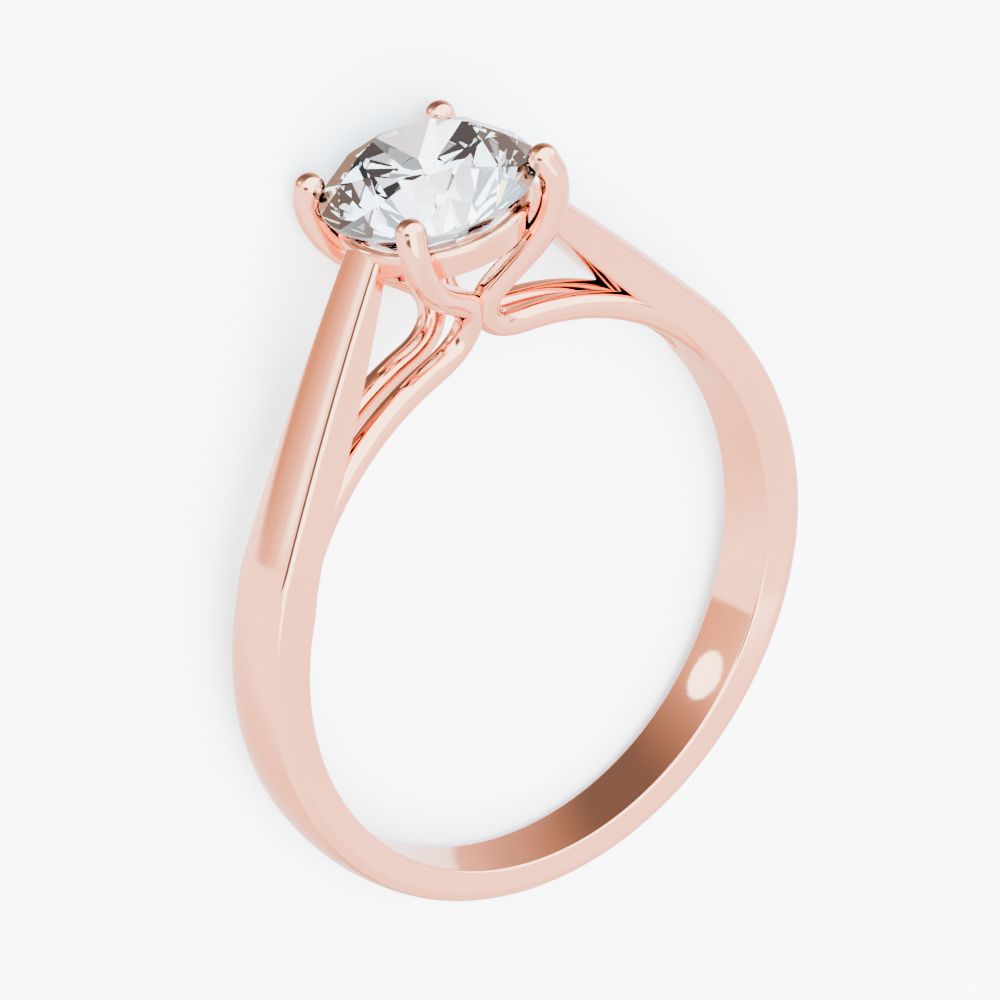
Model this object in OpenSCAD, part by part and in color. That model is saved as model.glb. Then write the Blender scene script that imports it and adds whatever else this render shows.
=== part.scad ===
/* [Finger hole] */
// Inside diameter of the ring
finger_d = 17.35; // [15.0:0.05:20.0]

/* [Band] */
// Thickness of the band at the bottom of the ring
band_t_bottom = 1.10; // [1.0:0.01:1.3]
// Thickness of the band at the sides of the ring
band_t_side = 1.48; // [1.35:0.01:1.55]
// Thickness that the taper would reach over the finger
band_t_top = 1.69; // [1.6:0.01:1.8]
// Width of the band's inner face at the bottom of the ring
band_w_bottom = 1.94; // [1.7:0.01:2.2]
// Width of the band's inner face at the sides of the ring
band_w_side = 2.19; // [2.0:0.01:2.4]
// Width that the taper would reach over the finger
band_w_top = 2.58; // [2.4:0.01:2.8]
// How much wider the lower band is outside than inside, on each side
band_flare = 0.22; // [0:0.01:0.3]
// Rounding of the outer edges of the lower band
band_round = 0.35; // [0.2:0.01:0.5]
// Height of the low dome across the lower band
band_crown = 0.12; // [0.02:0.01:0.15]

/* [Shoulders] */
// Distance from the finger hole's centre to the top of a shoulder at its root
shoulder_offset = 10.336; // [10.25:0.002:10.4]
// Slope of a shoulder above the horizontal at its root
shoulder_slope = 54.9; // [54:0.1:56]
// How far the top of a shoulder has curved inwards at the gallery
shoulder_arch = 0.37; // [0.1:0.01:0.4]
// Length of a shoulder from its root into the gallery
shoulder_len = 9.3; // [9.2:0.05:9.4]
// Depth of a shoulder at its root
shoulder_depth_root = 1.40; // [1.3:0.01:1.45]
// Depth of a shoulder in the middle
shoulder_depth_mid = 1.33; // [1.25:0.01:1.4]
// Depth of a shoulder at the gallery
shoulder_depth_head = 0.72; // [0.6:0.01:0.8]
// Width of the top at the root
shoulder_top_root = 2.25; // [2.1:0.01:2.35]
// Width of the top at the gallery
shoulder_top_head = 1.53; // [1.4:0.01:1.65]
// Width of the underside at the root
shoulder_under_root = 2.29; // [2.2:0.01:2.4]
// Width of the underside at the gallery
shoulder_under_head = 1.27; // [1.2:0.01:1.5]
// Height of the low dome across the top at the root
shoulder_crown_root = 0.19; // [0.1:0.01:0.22]
// Height of the low dome across the top at the gallery
shoulder_crown_head = 0.11; // [0.05:0.01:0.15]

/* [Gallery] */
// Outside radius of the gallery at its lower edge
gallery_r_low = 2.584; // [2.5:0.001:2.7]
// Outside radius of the gallery below its rounded top edge
gallery_r_high = 2.829; // [2.7:0.001:2.95]
// Height of the lower edge above the finger hole's centre
gallery_z_low = 12.44; // [12.3:0.01:12.6]
// Height where the rounded top edge begins
gallery_z_high = 13.21; // [13.1:0.01:13.3]
// Inside radius of the gallery
gallery_bore_r = 2.15; // [2.0:0.01:2.3]

/* [Prongs and rails] */
// Diameter of the round wire
wire_d = 0.84; // [0.8:0.01:0.88]
// Distance from the finger hole's centre to the middle of a lower rail
rail_r = 9.13; // [9.12:0.01:9.2]
// Distance of a lower rail from the ring's middle plane
rail_y = 0.64; // [0.55:0.01:0.7]
// Distance of a prong from the stone's axis, along the band and across it
prong_xy = 2.53; // [2.48:0.01:2.58]
// The same distance at a prong's tip, which leans in over the stone
prong_tip_xy = 2.405; // [2.38:0.005:2.45]
// Height of the middle of a prong's ball tip
prong_tip_z = 14.48; // [14.4:0.01:14.7]
// Diameter of a prong's ball tip
prong_tip_d = 0.90; // [0.88:0.01:0.94]

/* [Stone] */
// Diameter of the stone
stone_d = 6.34; // [6.2:0.01:6.45]
// Height of the lower edge of the girdle
stone_z = 14.08; // [14.0:0.01:14.15]
// Gap between the stone and the metal
seat_gap = 0.03; // [0.02:0.005:0.05]

/* [Hidden] */
$fn = 96;

gold = [0.90, 0.66, 0.58];
finger_r = finger_d / 2;

// How the ring lies: on the stone's girdle and the foot of the band, with its head raised a little
foot_y = band_w_bottom / 2 + band_flare;
foot_z = -(finger_r + band_t_bottom - band_crown - band_round);
lie_tilt = atan((stone_d / 2 - foot_y) / (stone_z - foot_z));
lie_lift = stone_d / 2 * cos(lie_tilt) - stone_z * sin(lie_tilt);

// Directions across a shoulder (outwards) and along it (towards the stone), in the plane of the band
across = [sin(shoulder_slope), cos(shoulder_slope)];
along = [-cos(shoulder_slope), sin(shoulder_slope)];
root_angle = 90 - shoulder_slope;

function ease(a, b, x) =
    let (t = min(1, max(0, (x - a) / (b - a))))
    t * t * (3 - 2 * t);
function mix(a, b, t) = a + (b - a) * t;

// A value that runs through three given ones at the bottom, the side and the top of a circle
function taper(bottom, side, top, angle) =
    let (s = sin(angle))
    side + (top - bottom) / 2 * s + ((top + bottom) / 2 - side) * s * s;

// One cross-section: half widths below and above, heights below and above, edge rounding, dome
edge_steps = [0, 30, 60, 90];
function half_section(under, top, low, high, round, dome) = concat(
    [[under, low]],
    [for (a = edge_steps) [top - round + round * cos(a), high - dome - round + round * sin(a)]],
    [[(top - round) / 2, high - dome / 4]]
);
function full_section(half, high) = concat(
    half,
    [[0, high]],
    [for (i = [len(half) - 1 : -1 : 0]) [-half[i][0], half[i][1]]]
);

// The lower band's rounding and flare fade out towards the shoulder's crisp edges
function fade(angle) = ease(-20, 24, angle);
sharp = 0.03;
hole_clear = 0.4;
hole_end = 27;
foot_depth = 0.12;

// Sections of the round part, from the foot of the ring up to the shoulder's root
function round_section(angle) =
    let (
        t = fade(angle),
        band_top = finger_r + taper(band_t_bottom, band_t_side, band_t_top, angle),
        high = angle < hole_end ? band_top
            : mix(band_top, shoulder_offset / cos(root_angle - angle), ease(hole_end, root_angle, angle)),
        low = angle < hole_end ? finger_r - hole_clear
            : mix(finger_r, shoulder_offset - shoulder_depth_root - foot_depth,
                (angle - hole_end) / (root_angle - hole_end)),
        inner_half = taper(band_w_bottom, band_w_side, band_w_top, angle) / 2,
        edge_half = mix(inner_half, shoulder_under_root / 2, ease(hole_end, root_angle, angle)),
        top_half = mix(inner_half + band_flare, shoulder_top_root / 2, t),
        round = mix(band_round, sharp, t),
        dome = mix(band_crown, shoulder_crown_root, t),
        flare = (top_half - edge_half) / (high - dome - round - finger_r),
        half = full_section(half_section(
            edge_half - flare * max(0, finger_r - low), top_half, low, high, round, dome), high)
    )
    [for (p = half) [p[1] * cos(angle), p[0], p[1] * sin(angle)]];

// Sections of the straight part, from the root towards the stone
depth_bend = 2 * (2 * shoulder_depth_mid - shoulder_depth_root - shoulder_depth_head);
function straight_section(t) =
    let (
        high = shoulder_offset - shoulder_arch * t * t,
        depth = mix(shoulder_depth_root, shoulder_depth_head, t) + depth_bend * t * (1 - t)
            + foot_depth * pow(max(0, 1 - t / 0.15), 2),
        half = full_section(half_section(
            mix(shoulder_under_root, shoulder_under_head, t) / 2,
            mix(shoulder_top_root, shoulder_top_head, t) / 2,
            high - depth, high, sharp, mix(shoulder_crown_root, shoulder_crown_head, t)), high)
    )
    [for (p = half)
        let (q = t * shoulder_len * along + p[1] * across)
        [q[0], p[0], q[1]]];

round_steps = 26;
shoulder_steps = 11;
right_sections = concat(
    [for (i = [0 : round_steps - 1]) round_section(-90 + i * (root_angle + 90) / round_steps)],
    [for (i = [0 : shoulder_steps]) straight_section(i / shoulder_steps)]
);

// Closes a list of rings of points into one solid
module skin(rings) {
    n = len(rings[0]);
    m = len(rings);
    side = [for (i = [0 : m - 2], j = [0 : n - 1], k = [0, 1])
        let (a = i * n + j, b = i * n + (j + 1) % n)
        k == 0 ? [a, b, b + n] : [a, b + n, a + n]];
    ends = [[for (j = [n - 1 : -1 : 0]) j], [for (j = [0 : n - 1]) (m - 1) * n + j]];
    polyhedron(points = [for (r = rings, p = r) p], faces = concat(side, ends));
}

// Band and both shoulders in one sweep, from the left shoulder's end round to the right one's
module band() {
    left = [for (i = [len(right_sections) - 1 : -1 : 1])
        [for (p = right_sections[i]) [-p[0], p[1], p[2]]]];
    skin(concat(left, right_sections));
}

// Ring of metal under the stone: a cone outside, a rounded top edge, a sloping seat inside
module gallery() {
    edge_r = 0.24;
    top_r = gallery_r_high - edge_r;
    top_z = gallery_z_high + edge_r;
    rotate_extrude()
        polygon(concat(
            [[gallery_bore_r, gallery_z_low], [gallery_r_low, gallery_z_low]],
            [for (a = [0 : 15 : 90])
                [top_r + edge_r * cos(a), gallery_z_high + edge_r * sin(a)]],
            [[gallery_bore_r, top_z - (top_r - gallery_bore_r) * pavilion_share * 2]]
        ));
}

// Route of one wire: lower rail, elbow beside the middle, prong, ball tip
rail_end = 79;
elbow = [0.516, 1.223, 10.808];
elbow_dir = [0.681, 0.348, 0.644];
knee = [prong_xy, prong_xy, 13.93];
tip = [prong_tip_xy, prong_tip_xy, prong_tip_z];
rail_reach = 1.65;
elbow_in = 0.6;
elbow_out = 1.3;
knee_reach = 1.62;

function bezier(a, b, c, d, t) =
    pow(1 - t, 3) * a + 3 * pow(1 - t, 2) * t * b + 3 * (1 - t) * t * t * c + pow(t, 3) * d;
rail_tip = [rail_r * cos(rail_end), rail_y, rail_r * sin(rail_end)];
rail_dir = [-sin(rail_end), 0, cos(rail_end)];
rail_start = 30;
rail_rings = 9;
elbow_rings = 12;
prong_rings = 9;
tip_rings = 4;
wire_sides = 12;

route = concat(
    [for (i = [0 : rail_rings - 1])
        let (a = mix(rail_start, rail_end, i / rail_rings))
        [rail_r * cos(a), rail_y, rail_r * sin(a)]],
    [for (i = [0 : elbow_rings - 1])
        bezier(rail_tip, rail_tip + rail_reach * rail_dir, elbow - elbow_in * elbow_dir, elbow,
            i / elbow_rings)],
    [for (i = [0 : prong_rings - 1])
        bezier(elbow, elbow + elbow_out * elbow_dir, knee - [0, 0, knee_reach], knee, i / prong_rings)],
    [knee, tip]
);

function unit(v) = v / norm(v);
function heading(i) = i == 0
    ? [-sin(rail_start), 0, cos(rail_start)]
    : i == len(route) - 1 ? unit(tip - knee) : unit(route[i + 1] - route[i - 1]);
function thickness(i) = i == len(route) - 1 ? prong_tip_d : wire_d;
function wire_ring(centre, dir, radius) =
    let (side = unit(cross(dir, [0, 1, 0])), up = cross(side, dir))
    [for (j = [0 : wire_sides - 1])
        let (a = j * 360 / wire_sides)
        centre + radius * (cos(a) * side + sin(a) * up)];
wire_solid = concat(
    [for (i = [0 : len(route) - 1]) wire_ring(route[i], heading(i), thickness(i) / 2)],
    [for (k = [1 : tip_rings])
        let (a = k * 84 / tip_rings, dir = unit(tip - knee))
        wire_ring(tip + prong_tip_d / 2 * sin(a) * dir, dir, prong_tip_d / 2 * cos(a))]
);

module wire() {
    skin(wire_solid);
}

module wires() {
    for (sx = [0, 1], sy = [0, 1])
        mirror([sx, 0, 0]) mirror([0, sy, 0]) wire();
}

// Proportions of a round brilliant, as shares of its diameter
table_share = 0.57;
crown_share = 0.162;
girdle_share = 0.027;
pavilion_share = 0.43;
stone_r = stone_d / 2;
table_r = stone_r * table_share;
table_z = stone_z + stone_d * (girdle_share + crown_share);
girdle_z = stone_z + stone_d * girdle_share;
culet_z = stone_z - stone_d * pavilion_share;

// Where the kites and stars meet on the crown, and the mains and lower halves on the pavilion
star_r = stone_r * 0.787;
star_z = table_z - (star_r * cos(22.5) - table_r) * stone_d * crown_share / (stone_r - table_r);
lower_r = stone_r * 0.23;
lower_z = culet_z + lower_r * cos(22.5) * pavilion_share * 2;

function circle_points(count, radius, z, turn) = [for (i = [0 : count - 1])
    [radius * cos(360 * i / count + turn), radius * sin(360 * i / count + turn), z]];

// Table, 8 stars, 8 kites, 16 upper halves, girdle, 16 lower halves and 8 pavilion mains
module diamond_shape() {
    star = 8;
    top = 16;
    low = 32;
    half = 48;
    culet = 56;
    polyhedron(
        points = concat(
            circle_points(8, table_r, table_z, 0),
            circle_points(8, star_r, star_z, 22.5),
            circle_points(16, stone_r, girdle_z, 0),
            circle_points(16, stone_r, stone_z, 0),
            circle_points(8, lower_r, lower_z, 22.5),
            [[0, 0, culet_z]]
        ),
        faces = concat(
            [[for (i = [7 : -1 : 0]) i]],
            [for (i = [0 : 7]) [i, (i + 1) % 8, star + i]],
            [for (i = [0 : 7]) [i, star + i, top + 2 * i, star + (i + 7) % 8]],
            [for (i = [0 : 7]) [star + i, top + 2 * i + 1, top + 2 * i]],
            [for (i = [0 : 7]) [star + i, top + (2 * i + 2) % 16, top + 2 * i + 1]],
            [for (i = [0 : 15]) [top + i, top + (i + 1) % 16, low + (i + 1) % 16, low + i]],
            [for (i = [0 : 7]) [low + 2 * i, low + 2 * i + 1, half + i]],
            [for (i = [0 : 7]) [low + 2 * i + 1, low + (2 * i + 2) % 16, half + i]],
            [for (i = [0 : 7]) [low + 2 * i, half + i, culet, half + (i + 7) % 8]]
        )
    );
}

// Room for the stone: its outline turned all round and enlarged by the gap
module stone_room() {
    rotate_extrude()
        polygon([
            [0, culet_z - seat_gap * 1.5],
            [stone_r + seat_gap, stone_z - seat_gap * 0.6],
            [stone_r + seat_gap, girdle_z + seat_gap * 0.6],
            [table_r + seat_gap, table_z + seat_gap],
            [table_r + seat_gap, table_z + 1],
            [0, table_z + 1]
        ]);
}

// Turns the upright ring onto its side and sets it on the floor, with its outline's middle at the origin
head_reach = table_r * sin(lie_tilt) + table_z * cos(lie_tilt);
foot_reach = (finger_r + band_t_bottom) * cos(lie_tilt);
module lie() {
    translate([0, (foot_reach - head_reach) / 2, lie_lift])
        rotate([lie_tilt - 90, 0, 0])
            children();
}

module ring_mount() {
    color(gold)
        lie()
            difference() {
                union() {
                    band();
                    gallery();
                    wires();
                }
                rotate([90, 0, 0])
                    cylinder(r = finger_r, h = 8, center = true);
                stone_room();
            }
}

module diamond() {
    color("white")
        lie()
            diamond_shape();
}

ring_mount();
diamond();
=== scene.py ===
import math

import bmesh
import bpy
import numpy as np
from mathutils import Matrix, Vector


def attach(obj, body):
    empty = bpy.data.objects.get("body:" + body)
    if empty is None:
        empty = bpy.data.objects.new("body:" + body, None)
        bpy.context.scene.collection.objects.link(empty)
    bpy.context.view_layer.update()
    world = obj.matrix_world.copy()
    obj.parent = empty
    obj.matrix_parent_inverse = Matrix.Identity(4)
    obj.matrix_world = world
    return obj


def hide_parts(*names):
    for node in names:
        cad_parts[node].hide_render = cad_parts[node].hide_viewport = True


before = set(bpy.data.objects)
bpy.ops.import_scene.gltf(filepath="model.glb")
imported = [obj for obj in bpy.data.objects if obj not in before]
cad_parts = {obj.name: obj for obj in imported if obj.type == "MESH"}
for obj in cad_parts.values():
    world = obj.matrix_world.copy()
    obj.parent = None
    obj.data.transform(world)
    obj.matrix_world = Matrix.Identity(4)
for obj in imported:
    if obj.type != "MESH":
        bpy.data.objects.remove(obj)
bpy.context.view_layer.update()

# Sizes in millimetres, in the upright ring's own frame:
# X along the band, Y along the finger hole, Z up to the stone
FINGER_R = 8.675
BAND_T = (1.10, 1.48, 1.69)
BAND_W = (1.94, 2.19, 2.58)
BAND_FLARE = 0.22
BAND_ROUND = 0.35
BAND_CROWN = 0.12
SHOULDER_OFFSET = 10.336
SLOPE_DEGREES = 54.9
SHOULDER_SLOPE = math.radians(SLOPE_DEGREES)
SHOULDER_ARCH = 0.37
SHOULDER_LEN = 9.3
SHOULDER_DEPTH = (1.40, 1.33, 0.72)
SHOULDER_TOP = (2.25, 1.53)
SHOULDER_UNDER = (2.29, 1.27)
SHOULDER_CROWN = (0.19, 0.11)
FOOT_DEPTH = 0.12
HOLE_END = 27.0
ROOT_ANGLE = 90 - SLOPE_DEGREES
RIDGE_ROUND = 0.24
INNER_ROUND = 0.12
INNER_CROWN = 0.045
GALLERY_LOW = (2.584, 12.44)
GALLERY_HIGH = (2.829, 13.21)
GALLERY_BORE = 2.15
GALLERY_EDGE = 0.24
WIRE_R = 0.42
RAIL_R = 9.13
RAIL_Y = 0.64
RAIL_END = 79.0
PRONG_XY = 2.53
KNEE_Z = 13.93
TIP_XY = 2.405
TIP_Z = 14.48
TIP_R = 0.45
ELBOW = np.array([0.516, 1.223, 10.808])
ELBOW_DIR = np.array([0.681, 0.348, 0.644])
RAIL_START = 30
RAIL_REACH = 1.65
ELBOW_IN = 0.6
ELBOW_OUT = 1.3
KNEE_REACH = 1.62
TIP_REACH = 0.18
STONE_R = 3.17
STONE_Z = 14.08
STONE_D = 6.34
GIRDLE = STONE_D * 0.027
CROWN = STONE_D * 0.162
PAVILION = STONE_D * 0.43
TABLE_R = STONE_R * 0.57
STAR_R = STONE_R * 0.787
LOWER_R = STONE_R * 0.23
SEAT_GAP = 0.03

# Metres from the stone to the cards that it shows
CARD_DISTANCE = 0.4

# How the ring lies: on the stone's girdle and the foot of the band
FOOT_Y = BAND_W[0] / 2 + BAND_FLARE
FOOT_Z = -(FINGER_R + BAND_T[0] - BAND_CROWN - BAND_ROUND)
LIE_TILT = math.atan((STONE_R - FOOT_Y) / (STONE_Z - FOOT_Z))
LIE_LIFT = STONE_R * math.cos(LIE_TILT) - STONE_Z * math.sin(LIE_TILT)
TABLE_Z = STONE_Z + GIRDLE + CROWN
HEAD_REACH = TABLE_R * math.sin(LIE_TILT) + TABLE_Z * math.cos(LIE_TILT)
FOOT_REACH = (FINGER_R + BAND_T[0]) * math.cos(LIE_TILT)
LIE = Matrix.Translation((0, (FOOT_REACH - HEAD_REACH) / 2, LIE_LIFT))
LIE = LIE @ Matrix.Rotation(LIE_TILT - math.pi / 2, 4, "X")
TO_ROW = Matrix.Scale(0.001, 4) @ LIE


def ease(a, b, x):
    t = min(1.0, max(0.0, (x - a) / (b - a)))
    return t * t * (3 - 2 * t)


def mix(a, b, t):
    return a + (b - a) * t


def taper(values, angle):
    bottom, side, top = values
    s = math.sin(math.radians(angle))
    return side + (top - bottom) / 2 * s + ((top + bottom) / 2 - side) * s * s


def half_section(edge, top, low, high, rounding, dome):
    """Half of a cross-section with its outward normals.

    It runs through the inner face, the inner edge, the side face, the outer edge and the domed top.
    """
    s = 0.3
    for _ in range(12):
        s = math.atan(2 * (dome + rounding * (1 - math.cos(s))) / (top - rounding + rounding * math.sin(s)))
    cw, ch = top - rounding, high - dome - rounding
    d = 0.1
    for _ in range(12):
        t = INNER_ROUND * (1 - math.sin(d)) / math.cos(d)
        wc = edge + t * math.sin(d) - INNER_ROUND * math.cos(d)
        p1 = (wc + INNER_ROUND * math.cos(d), low + INNER_CROWN + INNER_ROUND - INNER_ROUND * math.sin(d))
        p2 = (cw + rounding * math.cos(d), ch - rounding * math.sin(d))
        d = math.atan2(p2[0] - p1[0], p2[1] - p1[1])
    points, normals = [], []
    lean = math.atan(2 * INNER_CROWN / wc)
    for k in range(8):
        w = wc * k / 8
        points.append((w, low + INNER_CROWN * (w / wc) ** 2))
        n = (math.tan(lean) * w / wc, -1.0)
        normals.append((n[0] / math.hypot(*n), n[1] / math.hypot(*n)))
    for k in range(7):
        a = mix(lean - math.pi / 2, -d, k / 6)
        rise = low + INNER_CROWN + INNER_ROUND + INNER_ROUND * math.sin(a)
        points.append((wc + INNER_ROUND * math.cos(a), rise))
        normals.append((math.cos(a), math.sin(a)))
    for k in range(1, 10):
        points.append((mix(p1[0], p2[0], k / 10), mix(p1[1], p2[1], k / 10)))
        normals.append((math.cos(d), -math.sin(d)))
    for k in range(13):
        a = mix(-d, math.pi / 2 - s, k / 12)
        points.append((cw + rounding * math.cos(a), ch + rounding * math.sin(a)))
        normals.append((math.cos(a), math.sin(a)))
    w1, h1 = points[-1]
    for k in range(1, 13):
        w = w1 * (1 - k / 12)
        points.append((w, h1 + math.tan(s) * w1 / 2 * (1 - (w / w1) ** 2)))
        n = (math.tan(s) * w / w1, 1.0)
        normals.append((n[0] / math.hypot(*n), n[1] / math.hypot(*n)))
    return np.array(points), np.array(normals)


def full_section(*args):
    p, n = half_section(*args)
    flip = np.array([-1, 1])
    return np.vstack([p, p[-2:0:-1] * flip]), np.vstack([n, n[-2:0:-1] * flip])


def round_section(angle):
    t = ease(-20, 24, angle)
    band_top = FINGER_R + taper(BAND_T, angle)
    e = ease(HOLE_END, ROOT_ANGLE, angle)
    root_top = SHOULDER_OFFSET / math.cos(math.radians(ROOT_ANGLE - angle))
    high = mix(band_top, root_top, e)
    low = FINGER_R
    if angle > HOLE_END:
        root_low = SHOULDER_OFFSET - SHOULDER_DEPTH[0] - FOOT_DEPTH
        low = mix(FINGER_R, root_low, (angle - HOLE_END) / (ROOT_ANGLE - HOLE_END))
    inner = taper(BAND_W, angle) / 2
    p, n = full_section(
        mix(inner, SHOULDER_UNDER[0] / 2, e),
        mix(inner + BAND_FLARE, SHOULDER_TOP[0] / 2, t),
        low, high, mix(BAND_ROUND, RIDGE_ROUND, t), mix(BAND_CROWN, SHOULDER_CROWN[0], t),
    )
    out = np.array([math.cos(math.radians(angle)), 0, math.sin(math.radians(angle))])
    y = np.array([0, 1.0, 0])
    return p[:, :1] * y + p[:, 1:] * out, n[:, :1] * y + n[:, 1:] * out


def straight_section(t):
    high = SHOULDER_OFFSET - SHOULDER_ARCH * t * t
    d0, d1, d2 = SHOULDER_DEPTH
    depth = mix(d0, d2, t) + 2 * (2 * d1 - d0 - d2) * t * (1 - t) + FOOT_DEPTH * max(0, 1 - t / 0.15) ** 2
    p, n = full_section(
        mix(*SHOULDER_UNDER, t) / 2, mix(*SHOULDER_TOP, t) / 2,
        high - depth, high, RIDGE_ROUND, mix(*SHOULDER_CROWN, t),
    )
    across = np.array([math.sin(SHOULDER_SLOPE), 0, math.cos(SHOULDER_SLOPE)])
    along = np.array([-math.cos(SHOULDER_SLOPE), 0, math.sin(SHOULDER_SLOPE)])
    y = np.array([0, 1.0, 0])
    return p[:, :1] * y + p[:, 1:] * across + t * SHOULDER_LEN * along, n[:, :1] * y + n[:, 1:] * across


def tube(P, N):
    """Faces and flat lists for a closed tube through rings of points."""
    m, n = P.shape[:2]
    faces = []
    for i in range(m - 1):
        for j in range(n):
            a, b = i * n + j, i * n + (j + 1) % n
            faces.append((a, b, b + n, a + n))
    faces.append(tuple(range(n - 1, -1, -1)))
    faces.append(tuple((m - 1) * n + j for j in range(n)))
    return P.reshape(-1, 3), N.reshape(-1, 3), faces


def sweep(rings, ring_normals):
    """A closed tube whose normals are at right angles to the sweep's own direction."""
    P = np.array(rings)
    N = np.array(ring_normals)
    along = np.gradient(P, axis=0)
    along /= np.linalg.norm(along, axis=2, keepdims=True)
    N = N - (N * along).sum(2, keepdims=True) * along
    N /= np.linalg.norm(N, axis=2, keepdims=True)
    return tube(P, N)


def band():
    right = [round_section(-90 + i * (ROOT_ANGLE + 90) / 160) for i in range(160)]
    right += [straight_section(i / 70) for i in range(71)]
    mirror = np.array([-1, 1, 1])
    left = [(p * mirror, n * mirror) for p, n in right[:0:-1]]
    both = left + right
    return sweep([p for p, _ in both], [n for _, n in both])


def bezier(a, b, c, d, t):
    return (1 - t) ** 3 * a + 3 * (1 - t) ** 2 * t * b + 3 * (1 - t) * t * t * c + t ** 3 * d


def wire_route():
    """Centres and radii along one wire: lower rail, elbow, prong, ball tip."""
    e = math.radians(RAIL_END)
    rail_tip = np.array([RAIL_R * math.cos(e), RAIL_Y, RAIL_R * math.sin(e)])
    rail_dir = np.array([-math.sin(e), 0, math.cos(e)])
    knee = np.array([PRONG_XY, PRONG_XY, KNEE_Z])
    tip = np.array([TIP_XY, TIP_XY, TIP_Z])
    lean = (tip - knee) / np.linalg.norm(tip - knee)
    up = np.array([0, 0, 1.0])
    route = []
    for i in range(60):
        a = math.radians(mix(RAIL_START, RAIL_END, i / 60))
        route.append((np.array([RAIL_R * math.cos(a), RAIL_Y, RAIL_R * math.sin(a)]), WIRE_R))
    for i in range(48):
        ends = (rail_tip + RAIL_REACH * rail_dir, ELBOW - ELBOW_IN * ELBOW_DIR)
        route.append((bezier(rail_tip, *ends, ELBOW, i / 48), WIRE_R))
    for i in range(60):
        ends = (ELBOW + ELBOW_OUT * ELBOW_DIR, knee - KNEE_REACH * up)
        route.append((bezier(ELBOW, *ends, knee, i / 60), WIRE_R))
    for i in range(17):
        t = i / 16
        ends = (knee + TIP_REACH * up, tip - TIP_REACH * lean)
        route.append((bezier(knee, *ends, tip, t), mix(WIRE_R, TIP_R, ease(0, 1, t))))
    return route


def wire(sides=48):
    route = wire_route()
    C = np.array([c for c, _ in route])
    D = np.gradient(C, axis=0)
    D /= np.linalg.norm(D, axis=1, keepdims=True)
    rings, normals = [], []

    def ring(centre, direction, radius, lean=0.0):
        side = np.cross(direction, [0, 1, 0])
        side /= np.linalg.norm(side)
        up = np.cross(side, direction)
        a = np.arange(sides) * 2 * np.pi / sides
        n = np.cos(a)[:, None] * side + np.sin(a)[:, None] * up
        rings.append(centre + radius * n)
        normals.append(math.cos(lean) * n + math.sin(lean) * direction)

    for (c, r), d in zip(route, D):
        ring(c, d, r)
    for k in range(1, 15):
        a = k * (math.pi / 2 - 0.02) / 14
        ring(C[-1] + TIP_R * math.sin(a) * D[-1], D[-1], TIP_R * math.cos(a), a)
    P, N = np.array(rings), np.array(normals)
    return tube(P, N)


def gallery(sides=256):
    """The ring under the stone, turned from its profile."""
    (r0, z0), (r1, z1) = GALLERY_LOW, GALLERY_HIGH
    e, f = GALLERY_EDGE, 0.04
    slope = math.atan2(r1 - r0, z1 - z0)
    top_r, top_z = r1 - e, z1 + e
    seat = STONE_R / PAVILION
    inner_z = top_z - (top_r - GALLERY_BORE) / seat
    seat_normal = (-math.sin(math.atan(1 / seat)), math.cos(math.atan(1 / seat)))
    prof = []
    prof += [((mix(GALLERY_BORE, r0 - f, k / 4), z0), (0, -1)) for k in range(4)]
    for k in range(7):
        a = mix(-math.pi / 2, -slope, k / 6)
        prof.append(((r0 - f + f * math.cos(a), z0 + f + f * math.sin(a)), (math.cos(a), math.sin(a))))
    for k in range(1, 9):
        prof.append(((mix(r0, r1, k / 9), mix(z0 + f, z1, k / 9)), (math.cos(slope), -math.sin(slope))))
    for k in range(17):
        a = mix(-slope, math.pi / 2, k / 16)
        prof.append(((top_r + e * math.cos(a), z1 + e * math.sin(a)), (math.cos(a), math.sin(a))))
    prof.append(((top_r - 0.01, top_z - 0.004), (-0.3, 0.95)))
    for k in range(1, 9):
        place = (mix(top_r - 0.02, GALLERY_BORE, k / 8), mix(top_z - 0.02 / seat, inner_z, k / 8))
        prof.append((place, seat_normal))
    prof.append(((GALLERY_BORE, inner_z - 0.02), (-1, 0)))
    for k in range(1, 4):
        prof.append(((GALLERY_BORE, mix(inner_z - 0.02, z0 + 0.02, k / 3)), (-1, 0)))
    R = np.array([p for p, _ in prof])
    M = np.array([q for _, q in prof])
    M = M / np.linalg.norm(M, axis=1, keepdims=True)
    a = np.arange(sides) * 2 * np.pi / sides
    c, s = np.cos(a)[:, None], np.sin(a)[:, None]
    P = np.stack([R[:, 0] * c, R[:, 0] * s, R[:, 1] + 0 * c], 2).reshape(-1, 3)
    N = np.stack([M[:, 0] * c, M[:, 0] * s, M[:, 1] + 0 * c], 2).reshape(-1, 3)
    n = len(R)
    faces = [(i * n + j, ((i + 1) % sides) * n + j, ((i + 1) % sides) * n + (j + 1) % n, i * n + (j + 1) % n)
             for i in range(sides) for j in range(n)]
    return P, N, faces


def to_row(points):
    R = np.array(TO_ROW.to_3x3())
    return points @ R.T + np.array(TO_ROW.translation)


def shell_volume(P, faces):
    v = 0.0
    for f in faces:
        for k in range(1, len(f) - 1):
            v += np.dot(P[f[0]], np.cross(P[f[k]], P[f[k + 1]]))
    return v / 6


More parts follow.
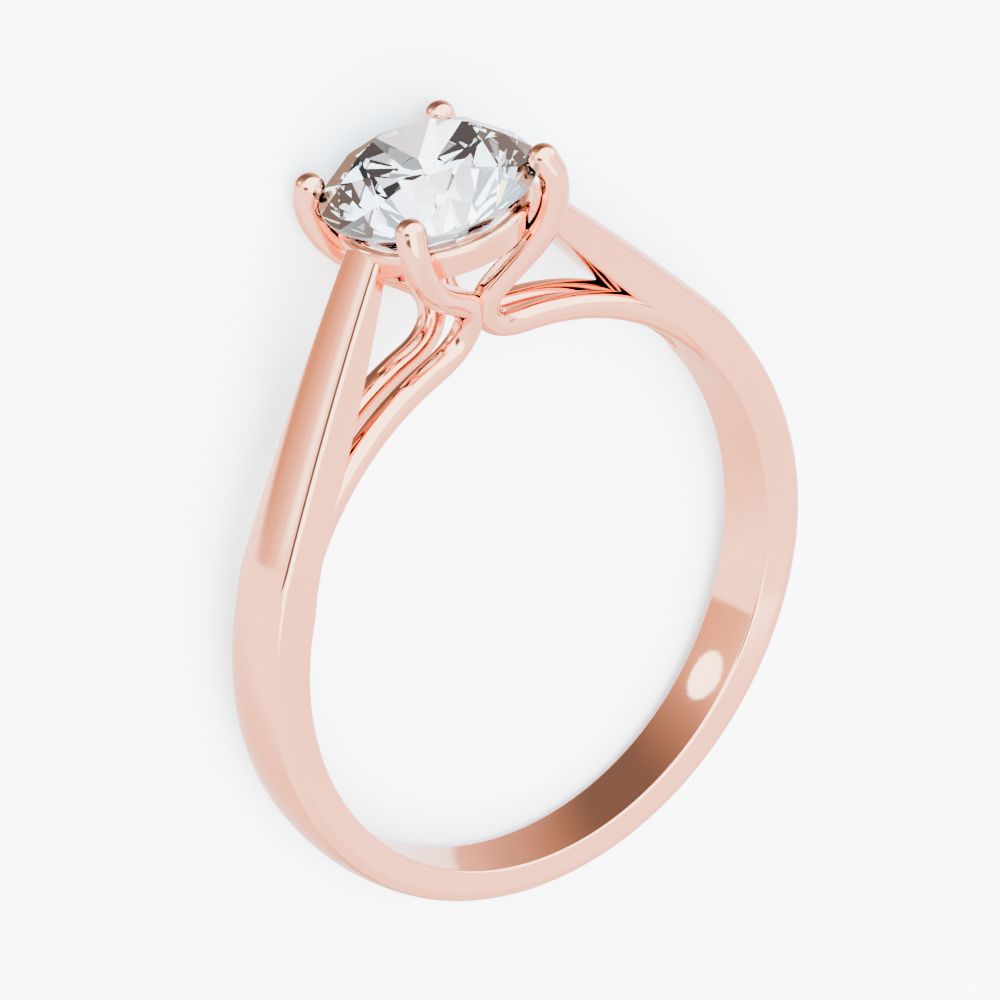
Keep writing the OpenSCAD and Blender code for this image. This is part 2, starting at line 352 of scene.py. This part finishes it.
def cut_wire():
    """One wire with the stone's seat cut into it, and a normal for each face corner."""
    P, N, faces = wire()
    if shell_volume(P, faces) < 0:
        faces = [f[::-1] for f in faces]
    body = bpy.data.meshes.new("wire")
    body.from_pydata(P.tolist(), [], faces)
    tool_p, tool_f = stone_room()
    tool = bpy.data.meshes.new("room")
    tool.from_pydata(tool_p.tolist(), [], tool_f)
    a = bpy.data.objects.new("wire", body)
    b = bpy.data.objects.new("room", tool)
    for o in (a, b):
        bpy.context.scene.collection.objects.link(o)
    cut = a.modifiers.new("seat", "BOOLEAN")
    cut.operation = "DIFFERENCE"
    cut.solver = "EXACT"
    cut.object = b
    done = bpy.data.meshes.new_from_object(a.evaluated_get(bpy.context.evaluated_depsgraph_get()))
    verts = np.array([v.co for v in done.vertices])
    polys = [tuple(p.vertices) for p in done.polygons]
    flat = np.array([p.normal for p in done.polygons])
    for o, m in ((a, body), (b, tool)):
        bpy.data.objects.remove(o)
        bpy.data.meshes.remove(m)
    bpy.data.meshes.remove(done)
    C = np.array([c for c, _ in wire_route()])
    seg = C[1:] - C[:-1]
    rel = verts[:, None, :] - C[None, :-1, :]
    t = np.clip((rel * seg).sum(2) / (seg * seg).sum(1), 0, 1)
    off = verts[:, None, :] - (C[None, :-1, :] + t[..., None] * seg)
    dist = np.linalg.norm(off, axis=2)
    k = dist.argmin(1)
    best = off[np.arange(len(verts)), k]
    smooth = best / np.maximum(dist.min(1), 1e-9)[:, None]
    corner = []
    for poly, n in zip(polys, flat):
        on_wire = np.dot(smooth[list(poly)].mean(0), n) > 0.97
        corner.append([smooth[i] if on_wire else n for i in poly])
    return verts, corner, polys


def stone_room(sides=192):
    g = SEAT_GAP
    prof = [
        (STONE_R + g, STONE_Z - 0.6 * g), (STONE_R + g, STONE_Z + GIRDLE + 0.6 * g),
        (TABLE_R + g, TABLE_Z + g), (TABLE_R + g, TABLE_Z + 1),
    ]
    a = np.arange(sides) * 2 * np.pi / sides
    rings = [np.stack([r * np.cos(a), r * np.sin(a), 0 * a + z], 1) for r, z in prof]
    P = np.vstack(rings + [[[0, 0, STONE_Z - PAVILION - 1.5 * g]], [[0, 0, TABLE_Z + 1]]])
    faces = []
    for i in range(len(prof) - 1):
        for j in range(sides):
            p, q = i * sides + j, i * sides + (j + 1) % sides
            faces.append((p, q, q + sides, p + sides))
    low, high = len(P) - 2, len(P) - 1
    for j in range(sides):
        faces.append((low, (j + 1) % sides, j))
        top = (len(prof) - 1) * sides
        faces.append((high, top + j, top + (j + 1) % sides))
    return P, faces


def build_metal():
    P_all, F_all, N_all = [], [], []
    count = 0

    def add(P, faces, corners):
        nonlocal count
        if shell_volume(P, faces) < 0:
            faces = [f[::-1] for f in faces]
            corners = [c[::-1] for c in corners]
        P_all.append(P)
        F_all.extend(tuple(i + count for i in f) for f in faces)
        N_all.extend(n for c in corners for n in c)
        count += len(P)

    for P, N, faces in (band(), gallery()):
        corners = [[N[i] for i in f] for f in faces]
        add(P, faces, corners)
    P, corners, faces = cut_wire()
    for sx in (1, -1):
        for sy in (1, -1):
            m = np.array([sx, sy, 1])
            add(P * m, faces, [[n * m for n in c] for c in corners])
    P = to_row(np.vstack(P_all))
    R = np.array(LIE.to_3x3())
    N = np.array(N_all) @ R.T
    mesh = bpy.data.meshes.new("ring_metal")
    mesh.from_pydata(P.tolist(), [], F_all)
    mesh.polygons.foreach_set("use_smooth", [True] * len(mesh.polygons))
    mesh.normals_split_custom_set(N.tolist())
    mesh.update()
    piece = bpy.data.objects.new("ring_metal", mesh)
    bpy.context.scene.collection.objects.link(piece)
    return piece


def polar(r, degrees, z):
    a = math.radians(degrees)
    return Vector((r * math.cos(a), r * math.sin(a), z))


def build_stone():
    """Round brilliant, cut facet by facet from a round blank."""
    bm = bmesh.new()
    height = GIRDLE + CROWN + PAVILION
    bmesh.ops.create_cone(bm, cap_ends=True, segments=96, radius1=STONE_R, radius2=STONE_R, depth=height)
    bmesh.ops.translate(bm, verts=bm.verts, vec=(0, 0, STONE_Z - PAVILION + height / 2))
    girdle = STONE_Z + GIRDLE
    star_z = TABLE_Z - (STAR_R * math.cos(math.pi / 8) - TABLE_R) * CROWN / (STONE_R - TABLE_R)
    culet = Vector((0, 0, STONE_Z - PAVILION))
    lower_z = STONE_Z - PAVILION + LOWER_R * math.cos(math.pi / 8) * PAVILION / STONE_R
    cuts = []
    for k in range(8):
        a = 45 * k
        corner = polar(TABLE_R, a, TABLE_Z)
        star = polar(STAR_R, a + 22.5, star_z)
        lower = polar(LOWER_R, a + 22.5, lower_z)
        cuts.append((corner, polar(STONE_R, a, girdle), star))
        cuts.append((corner, polar(TABLE_R, a + 45, TABLE_Z), star))
        cuts.append((culet, polar(STONE_R, a, STONE_Z), lower))
        for b, c in ((0, 22.5), (22.5, 45)):
            cuts.append((star, polar(STONE_R, a + b, girdle), polar(STONE_R, a + c, girdle)))
            cuts.append((lower, polar(STONE_R, a + b, STONE_Z), polar(STONE_R, a + c, STONE_Z)))
    middle = Vector((0, 0, STONE_Z))
    for p, q, r in cuts:
        n = (q - p).cross(r - p).normalized()
        if n.dot(middle - p) > 0:
            n = -n
        geom = bm.verts[:] + bm.edges[:] + bm.faces[:]
        cut = bmesh.ops.bisect_plane(bm, geom=geom, dist=1e-5, plane_co=p, plane_no=n, clear_outer=True)
        edges = [e for e in cut["geom_cut"] if isinstance(e, bmesh.types.BMEdge)]
        bmesh.ops.contextual_create(bm, geom=edges)
    bmesh.ops.remove_doubles(bm, verts=bm.verts, dist=1e-4)
    bmesh.ops.dissolve_limit(bm, angle_limit=math.radians(0.2), verts=bm.verts, edges=bm.edges)
    bmesh.ops.recalc_face_normals(bm, faces=bm.faces)
    bm.transform(TO_ROW)
    mesh = bpy.data.meshes.new("diamond_cut")
    bm.to_mesh(mesh)
    bm.free()
    piece = bpy.data.objects.new("diamond_cut", mesh)
    bpy.context.scene.collection.objects.link(piece)
    return piece


def principled(name):
    material = bpy.data.materials.new(name)
    material.use_nodes = True
    return material, material.node_tree, material.node_tree.nodes["Principled BSDF"]


def noise(tree, scale, detail, low, high):
    """Noise in the part's own space, spread between two values."""
    place = tree.nodes.new("ShaderNodeTexCoord")
    field = tree.nodes.new("ShaderNodeTexNoise")
    field.inputs["Scale"].default_value = scale
    field.inputs["Detail"].default_value = detail
    spread = tree.nodes.new("ShaderNodeMapRange")
    spread.inputs["From Min"].default_value = 0.35
    spread.inputs["From Max"].default_value = 0.65
    spread.inputs["To Min"].default_value = low
    spread.inputs["To Max"].default_value = high
    tree.links.new(place.outputs["Object"], field.inputs["Vector"])
    tree.links.new(field.outputs["Fac"], spread.inputs["Value"])
    return spread.outputs["Result"]


def bump(tree, shader, height, strength, distance):
    node = tree.nodes.new("ShaderNodeBump")
    node.inputs["Strength"].default_value = strength
    node.inputs["Distance"].default_value = distance
    tree.links.new(height, node.inputs["Height"])
    tree.links.new(node.outputs["Normal"], shader.inputs["Normal"])


def tint(tree, shader, factor, first, second):
    node = tree.nodes.new("ShaderNodeMix")
    node.data_type = "RGBA"
    node.inputs[6].default_value = (*first, 1)
    node.inputs[7].default_value = (*second, 1)
    tree.links.new(factor, node.inputs["Factor"])
    tree.links.new(node.outputs[2], shader.inputs["Base Color"])


def rose_gold():
    """Mirror polish with a faint buffing haze and a very slight unevenness of colour."""
    material, tree, shader = principled("polished_rose_gold")
    shader.inputs["Metallic"].default_value = 1
    tint(tree, shader, noise(tree, 900, 2, 0, 1), (1.0, 0.425, 0.235), (1.0, 0.435, 0.245))
    tree.links.new(noise(tree, 2600, 3, 0.045, 0.075), shader.inputs["Roughness"])
    bump(tree, shader, noise(tree, 7000, 2, 0, 1), 0.02, 0.00001)
    return material


def diamond_material():
    """Clear facets, and a girdle left matt as it comes from the grinding wheel."""
    material, tree, shader = principled("clear_diamond")
    shader.inputs["IOR"].default_value = 2.417
    shader.inputs["Transmission Weight"].default_value = 1
    tint(tree, shader, noise(tree, 1200, 1, 0, 1), (1, 1, 1), (0.985, 0.99, 1.0))
    place = tree.nodes.new("ShaderNodeTexCoord")
    across = tree.nodes.new("ShaderNodeVectorMath")
    across.operation = "DOT_PRODUCT"
    across.inputs[1].default_value = (LIE.to_3x3() @ Vector((0, 0, 1)))
    tree.links.new(place.outputs["Normal"], across.inputs[0])
    size = tree.nodes.new("ShaderNodeMath")
    size.operation = "ABSOLUTE"
    tree.links.new(across.outputs["Value"], size.inputs[0])
    matt = tree.nodes.new("ShaderNodeMapRange")
    matt.inputs["From Min"].default_value = 0.02
    matt.inputs["From Max"].default_value = 0.1
    matt.inputs["To Min"].default_value = 0.3
    matt.inputs["To Max"].default_value = 0.0
    tree.links.new(size.outputs[0], matt.inputs["Value"])
    tree.links.new(matt.outputs["Result"], shader.inputs["Roughness"])
    return material


def floor_material():
    material, tree, shader = principled("pale_floor")
    tint(tree, shader, noise(tree, 60, 3, 0, 1), (0.94, 0.94, 0.94), (0.93, 0.93, 0.93))
    tree.links.new(noise(tree, 400, 2, 0.85, 0.95), shader.inputs["Roughness"])
    shader.inputs["Specular IOR Level"].default_value = 0.2
    return material


def make_camera():
    """The photograph's view, fitted in the upright ring's frame."""
    az, el, roll = (math.radians(v) for v in (-31.411, 32.083, -13.589))
    back = Vector((math.sin(az) * math.cos(el), -math.cos(az) * math.cos(el), math.sin(el)))
    right = Vector((0, 0, 1)).cross(back).normalized()
    up = back.cross(right)
    right, up = math.cos(roll) * right + math.sin(roll) * up, -math.sin(roll) * right + math.cos(roll) * up
    place = 128.683 * back - 0.784 * right + 2.688 * up
    turn = LIE.to_3x3() @ Matrix((right, up, back)).transposed()
    data = bpy.data.cameras.new("camera")
    data.lens = 4278.467 / 1000 * 36
    data.sensor_width = 36
    data.clip_start = 0.001
    data.clip_end = 10
    camera = bpy.data.objects.new("camera", data)
    camera.matrix_world = Matrix.Translation((LIE @ place) * 0.001) @ turn.to_4x4()
    bpy.context.scene.collection.objects.link(camera)
    bpy.context.scene.camera = camera
    return camera


def heading(az, el):
    """Unit vector in the row frame: az is 0 toward -Y and 90 toward +X, el is upward, both in degrees."""
    a, e = math.radians(az), math.radians(el)
    return math.cos(e) * math.sin(a), -math.cos(e) * math.cos(a), math.sin(e)


class Sky:
    """Adds soft-edged areas of light, one over the other, to a world's node tree."""

    def __init__(self, tree, colour):
        self.tree = tree
        self.direction = tree.nodes.new("ShaderNodeTexCoord").outputs["Generated"]
        split = tree.nodes.new("ShaderNodeSeparateXYZ")
        tree.links.new(self.direction, split.inputs[0])
        x, y, z = split.outputs
        degrees = 180 / math.pi
        self.az = self.calc("MULTIPLY", self.calc("ARCTAN2", x, self.calc("MULTIPLY", y, -1)), degrees)
        self.el = self.calc("MULTIPLY", self.calc("ARCSINE", z), degrees)
        self.colour = colour

    def calc(self, kind, *values):
        node = self.tree.nodes.new("ShaderNodeMath")
        node.operation = kind
        for socket, value in zip(node.inputs, values):
            if isinstance(value, (int, float)):
                socket.default_value = value
            else:
                self.tree.links.new(value, socket)
        return node.outputs[0]

    def step(self, value, low, high):
        """0 at low, 1 at high, smooth between them."""
        if low > high:
            return self.calc("SUBTRACT", 1, self.step(value, high, low))
        node = self.tree.nodes.new("ShaderNodeMapRange")
        node.interpolation_type = "SMOOTHSTEP"
        self.tree.links.new(value, node.inputs["Value"])
        node.inputs["From Min"].default_value = low
        node.inputs["From Max"].default_value = high
        return node.outputs["Result"]

    def cone(self, az, el, inner, outer):
        """1 within the inner angle of a heading, 0 beyond the outer one."""
        node = self.tree.nodes.new("ShaderNodeVectorMath")
        node.operation = "DOT_PRODUCT"
        self.tree.links.new(self.direction, node.inputs[0])
        node.inputs[1].default_value = heading(az, el)
        return self.step(node.outputs["Value"], math.cos(math.radians(outer)), math.cos(math.radians(inner)))

    def side(self, normal, low, high):
        """A soft cut through the sphere of directions at right angles to a vector."""
        node = self.tree.nodes.new("ShaderNodeVectorMath")
        node.operation = "DOT_PRODUCT"
        self.tree.links.new(self.direction, node.inputs[0])
        node.inputs[1].default_value = normal
        return self.step(node.outputs["Value"], low, high)

    def sector(self, az0, az1, soft):
        """1 from az0 round to az1."""
        middle, half = (az0 + az1) / 2, (az1 - az0) / 2
        off = self.calc("ABSOLUTE", self.calc("WRAP", self.calc("SUBTRACT", self.az, middle), -180, 180))
        return self.step(off, half + soft, half - soft)

    def belt(self, el0, el1, soft):
        """1 between two heights above the horizon."""
        middle, half = (el0 + el1) / 2, (el1 - el0) / 2
        off = self.calc("ABSOLUTE", self.calc("SUBTRACT", self.el, middle))
        return self.step(off, half + soft, half - soft)

    def both(self, *masks):
        """Where every mask is 1."""
        out = masks[0]
        for mask in masks[1:]:
            out = self.calc("MULTIPLY", out, mask)
        return out

    def paint(self, mask, colour):
        """Lays a colour over what is there, where the mask is 1."""
        node = self.tree.nodes.new("ShaderNodeMix")
        node.data_type = "RGBA"
        self.tree.links.new(mask, node.inputs["Factor"])
        for socket, value in ((node.inputs[6], self.colour), (node.inputs[7], colour)):
            if isinstance(value, tuple):
                socket.default_value = (*value, 1)
            else:
                self.tree.links.new(value, socket)
        self.colour = node.outputs[2]


def make_world():
    """A studio of soft light areas, set out by heading. Below the horizon only reflections see it, in place
    of the floor: there it is a painted reflection of the floor, with painted shade where the ring's shadow
    lies.
    """
    world = bpy.data.worlds.new("studio")
    world.use_nodes = True
    tree = world.node_tree
    sky = Sky(tree, (3.75, 3.45, 3.9))
    # front, low: a warm dimmer area; below the horizon a painted reflection of the floor, dimmer than the
    # sky
    sky.paint(sky.cone(-20, -38, 12, 52), (2.8, 2.2, 1.95))
    sky.paint(sky.cone(5, -16, 5, 34), (1.7, 1.1, 0.85))
    sky.paint(sky.cone(8, 14, 8, 48), (3.2, 2.8, 2.9))
    # white light behind, to the right and overhead
    white = (6.2, 8.0, 9.5)
    sky.paint(sky.both(sky.sector(95, 236, 4), sky.belt(1, 52, 7)), white)
    gap = sky.calc("SUBTRACT", 1, sky.both(sky.sector(8, 132, 6), sky.belt(0, 84, 3)))
    sky.paint(sky.both(sky.cone(180, 70, 43, 46), gap), white)
    # dark low area behind, with salmon edges and one lamp in it: painted shade in the floor's reflection,
    # beside the ring where its shadow lies; the lamp shows only in reflections
    slope = (-0.164, -0.887, 0.430)
    tail = sky.both(sky.side(slope, -0.20, -0.26), sky.sector(-150, -100, 4))
    cut = sky.calc("MAXIMUM", sky.side(slope, -0.33, -0.41), tail)
    cut = sky.both(cut, sky.side((-0.423, -0.904, 0.057), 0.02, -0.02))
    low = sky.both(cut, sky.belt(-95, -3, 3))
    sky.paint(low, (1.35, 0.8, 0.53))
    sky.paint(sky.both(low, sky.step(sky.el, -70, -35)), (1.95, 1.35, 1.1))
    sky.paint(sky.both(low, sky.step(sky.el, -38, -20)), (2.7, 2.1, 2.0))
    sky.paint(sky.both(low, sky.step(sky.el, -20, -6)), (5.0, 6.2, 7.0))
    # painted shade: the floor's reflection is darkest inside the ring's hole, where the band shades it
    dark = sky.belt(-95, -2, 3)
    sky.paint(sky.both(dark, sky.sector(100, 213, 15)), (1.1, 0.8, 0.68))
    sky.paint(sky.both(dark, sky.sector(132, 198, 24)), (0.26, 0.26, 0.28))
    sky.paint(sky.cone(-140.5, -38, 6.8, 8.3), white)
    # thin dark edges between the light areas
    edge = (0.3, 0.25, 0.25)
    sky.paint(sky.both(sky.sector(-126, -102, 2), sky.belt(12, 46, 5)), edge)
    sky.paint(sky.both(sky.sector(66, 92, 3), sky.belt(25, 29, 2)), edge)
    back = tree.nodes["Background"]
    tree.links.new(sky.colour, back.inputs["Color"])
    back.inputs["Strength"].default_value = 1.0
    bpy.context.scene.world = world


def build_flags():
    """Dark, grey and tinted cards round the stone: painted dark and grey reflections in the stone, and
    glowing amber and violet cards as painted coloured glints in place of the stone's fire.

    Only light that has passed through the stone meets them.
    """
    rng = np.random.default_rng(11)
    # colour, how many, and the least and greatest half angle in degrees
    cards = {
        "black": ((0, 0, 0), 90, (3.5, 8)),
        "grey": ((0.9, 0.95, 1.0), 40, (3.5, 8)),
        # amber and violet glow: painted glints standing in for the stone's fire
        "amber": ((6.0, 4.6, 1.6), 5, (2, 4)),
        "violet": ((1.6, 1.7, 4.8), 7, (2, 4)),
    }
    centre = TO_ROW @ Vector((0, 0, STONE_Z))
    for name, (colour, count, sizes) in cards.items():
        verts, faces = [], []
        for _ in range(count):
            az = rng.uniform(-180, 180)
            el = math.degrees(math.asin(rng.uniform(-0.6, 1)))
            out = Vector(heading(az, el))
            side = out.orthogonal().normalized()
            side.rotate(Matrix.Rotation(rng.uniform(0, math.pi), 3, out))
            up = out.cross(side)
            half = math.tan(math.radians(rng.uniform(*sizes)))
            wide, high = half * rng.uniform(0.6, 1.5), half
            for u, v in ((-1, -1), (1, -1), (1, 1), (-1, 1)):
                verts.append(centre + CARD_DISTANCE * (out + u * wide * side + v * high * up))
            faces.append(tuple(range(len(verts) - 4, len(verts))))
        mesh = bpy.data.meshes.new("flag_" + name)
        mesh.from_pydata(verts, [], faces)
        material = bpy.data.materials.new("card_" + name)
        material.use_nodes = True
        tree = material.node_tree
        tree.nodes.clear()
        glow = tree.nodes.new("ShaderNodeEmission")
        glow.inputs["Color"].default_value = (*colour, 1)
        target = tree.nodes.new("ShaderNodeOutputMaterial")
        tree.links.new(glow.outputs[0], target.inputs["Surface"])
        mesh.materials.append(material)
        flag = bpy.data.objects.new("flag_" + name, mesh)
        for kind in ("camera", "diffuse", "glossy", "shadow", "volume_scatter"):
            setattr(flag, "visible_" + kind, False)
        bpy.context.scene.collection.objects.link(flag)


make_camera()
ring = build_metal()
ring.data.materials.append(rose_gold())
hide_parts("ring_mount")
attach(ring, "root")
ring.visible_transmission = False

stone = build_stone()
stone.data.materials.append(diamond_material())
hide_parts("diamond")
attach(stone, "root")

bpy.ops.mesh.primitive_plane_add(size=2.0, location=(0, 0, 0))
floor = bpy.context.object
floor.name = "floor"
floor.data.materials.append(floor_material())
# reflections see the world's painted floor below the horizon in place of this floor
floor.visible_glossy = False
overhead = bpy.data.objects.new("overhead", bpy.data.lights.new("overhead", "SUN"))
overhead.data.energy = 17
overhead.data.color = (1.0, 0.975, 0.94)
overhead.data.angle = math.radians(70)
overhead.rotation_euler = (math.radians(12), math.radians(-14), 0)
overhead.visible_glossy = False
overhead.visible_transmission = False
bpy.context.scene.collection.objects.link(overhead)
build_flags()
make_world()

view = bpy.context.scene.view_settings
view.view_transform = "AgX"
view.exposure = 0.0
cycles = bpy.context.scene.cycles
cycles.max_bounces = 24
cycles.glossy_bounces = 2
cycles.transmission_bounces = 24
